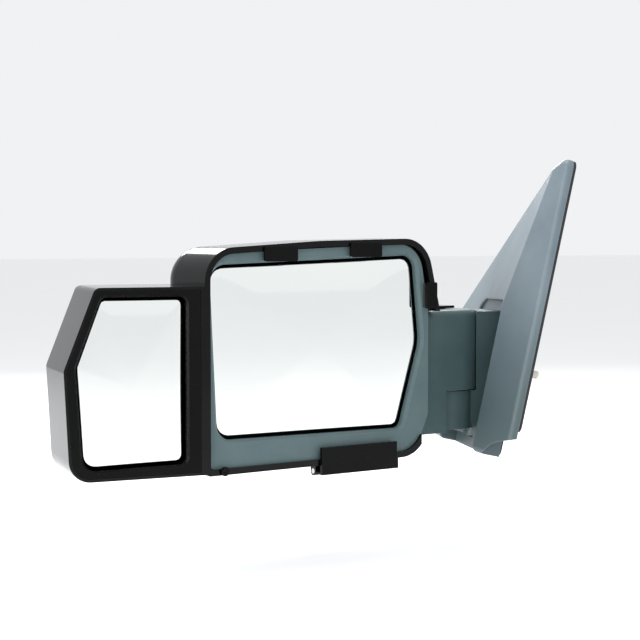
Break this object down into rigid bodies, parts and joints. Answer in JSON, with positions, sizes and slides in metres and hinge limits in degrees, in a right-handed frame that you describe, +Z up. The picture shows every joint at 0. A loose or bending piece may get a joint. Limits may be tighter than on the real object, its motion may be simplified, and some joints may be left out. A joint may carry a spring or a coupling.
{
  "type": "car side mirror",
  "caption": "Left-hand truck door mirror with a clip-on towing extension: folding arm, tilting heated glass and a second tilting glass outboard.",
  "frame": {"origin": "centre of the three door studs, on the bracket face that meets the door", "axes": "+X inboard towards the vehicle, +Y forwards, +Z up"},
  "size_m": [0.5181, 0.2697, 0.3055],
  "materials": {
    "gloss_black": "polished",
    "satin_black": "satin",
    "sail_grey": "satin",
    "arm_grey": "satin",
    "bezel_grey": "satin",
    "housing_black": "moulded",
    "mirror_glass": "polished",
    "lens_grey": "smoked",
    "reflector_chrome": "polished",
    "board_green": "lacquered",
    "die_cast": "cast",
    "steel": "plated",
    "natural_nylon": "moulded",
    "actuator_black": "moulded",
    "rubber_black": "matte",
    "heater_film": "film"
  },
  "bodies": {
    "base": {"mount_bracket": "die_cast", "sail_cover": "sail_grey", "foot_cover": "arm_grey", "door_gasket": "rubber_black", "mount_studs": "steel", "locating_peg": "natural_nylon", "cover_screws": "steel", "pivot_tube": "steel", "detent_ring_lower": "steel", "spring_retainer": "steel"},
    "head": {"detent_ring_upper": "steel", "pivot_bush": "natural_nylon", "fold_spring": "steel", "arm_casting": "die_cast", "arm_cover_rear": "arm_grey", "arm_cover_front": "arm_grey", "stock_housing": "housing_black", "bezel": "bezel_grey", "signal_lens": "lens_grey", "signal_reflector": "reflector_chrome", "signal_board": "board_green", "actuator_case": "actuator_black", "actuator_lid": "actuator_black", "pan_motor": "steel", "tilt_motor": "steel", "towing_shell": "gloss_black", "foam_pads": "rubber_black", "extension_frame": "satin_black", "extension_bracket": "housing_black", "top_clip_outer": "satin_black", "top_clip_inner": "satin_black", "side_clip": "satin_black", "clip_pads": "rubber_black", "clamp_pin": "steel", "retaining_screw": "steel"},
    "clamp": {"bottom_clamp": "satin_black", "clamp_pad": "rubber_black"},
    "glass_gimbal": {"glass_cross": "natural_nylon"},
    "glass": {"glass_holder": "housing_black", "heater_pad": "heater_film", "main_glass": "mirror_glass"},
    "pan_slide": {"pan_jack": "natural_nylon"},
    "tilt_slide": {"tilt_jack": "natural_nylon"},
    "extension_gimbal": {"extension_cross": "natural_nylon"},
    "extension_mirror": {"extension_holder": "housing_black", "extension_glass": "mirror_glass"}
  },
  "joints": [
    {"name": "head_fold", "type": "hinge", "parent": "base", "child": "head", "pos_m": [-0.06095, 0.01474, 0], "axis": [0, 0, 1], "range_deg": [-40, 45]},
    {"name": "clamp_swing", "type": "hinge", "parent": "head", "child": "clamp", "pos_m": [-0.18029, -0.05762, -0.0875], "axis": [0.9659, 0.2588, 0], "range_deg": [0, 100]},
    {"name": "glass_pan", "type": "hinge", "parent": "head", "child": "glass_gimbal", "pos_m": [-0.23085, -0.05822, 0.033], "axis": [0, 0, 1], "range_deg": [-6, 6]},
    {"name": "glass_tilt", "type": "hinge", "parent": "glass_gimbal", "child": "glass", "pos_m": [-0.23085, -0.05822, 0.033], "axis": [0.9659, 0.2588, 0], "range_deg": [-6, 6]},
    {"name": "pan_jack_slide", "type": "slide", "parent": "head", "child": "pan_slide", "axis": [-0.2588, 0.9659, 0], "range_m": [-0.0036, 0.0036]},
    {"name": "tilt_jack_slide", "type": "slide", "parent": "head", "child": "tilt_slide", "axis": [-0.2588, 0.9659, 0], "range_m": [-0.0036, 0.0036]},
    {"name": "extension_pan", "type": "hinge", "parent": "head", "child": "extension_gimbal", "pos_m": [-0.4186, -0.0915, 0.006], "axis": [0, 0, 1], "range_deg": [-6, 6]},
    {"name": "extension_tilt", "type": "hinge", "parent": "extension_gimbal", "child": "extension_mirror", "pos_m": [-0.4186, -0.0915, 0.006], "axis": [1, 0, 0], "range_deg": [-6, 6]}
  ],
  "couplings": [
    {"joint": "pan_jack_slide", "follows": "glass_pan", "m_per_rad": 0.032},
    {"joint": "tilt_jack_slide", "follows": "glass_tilt", "m_per_rad": 0.032}
  ]
}
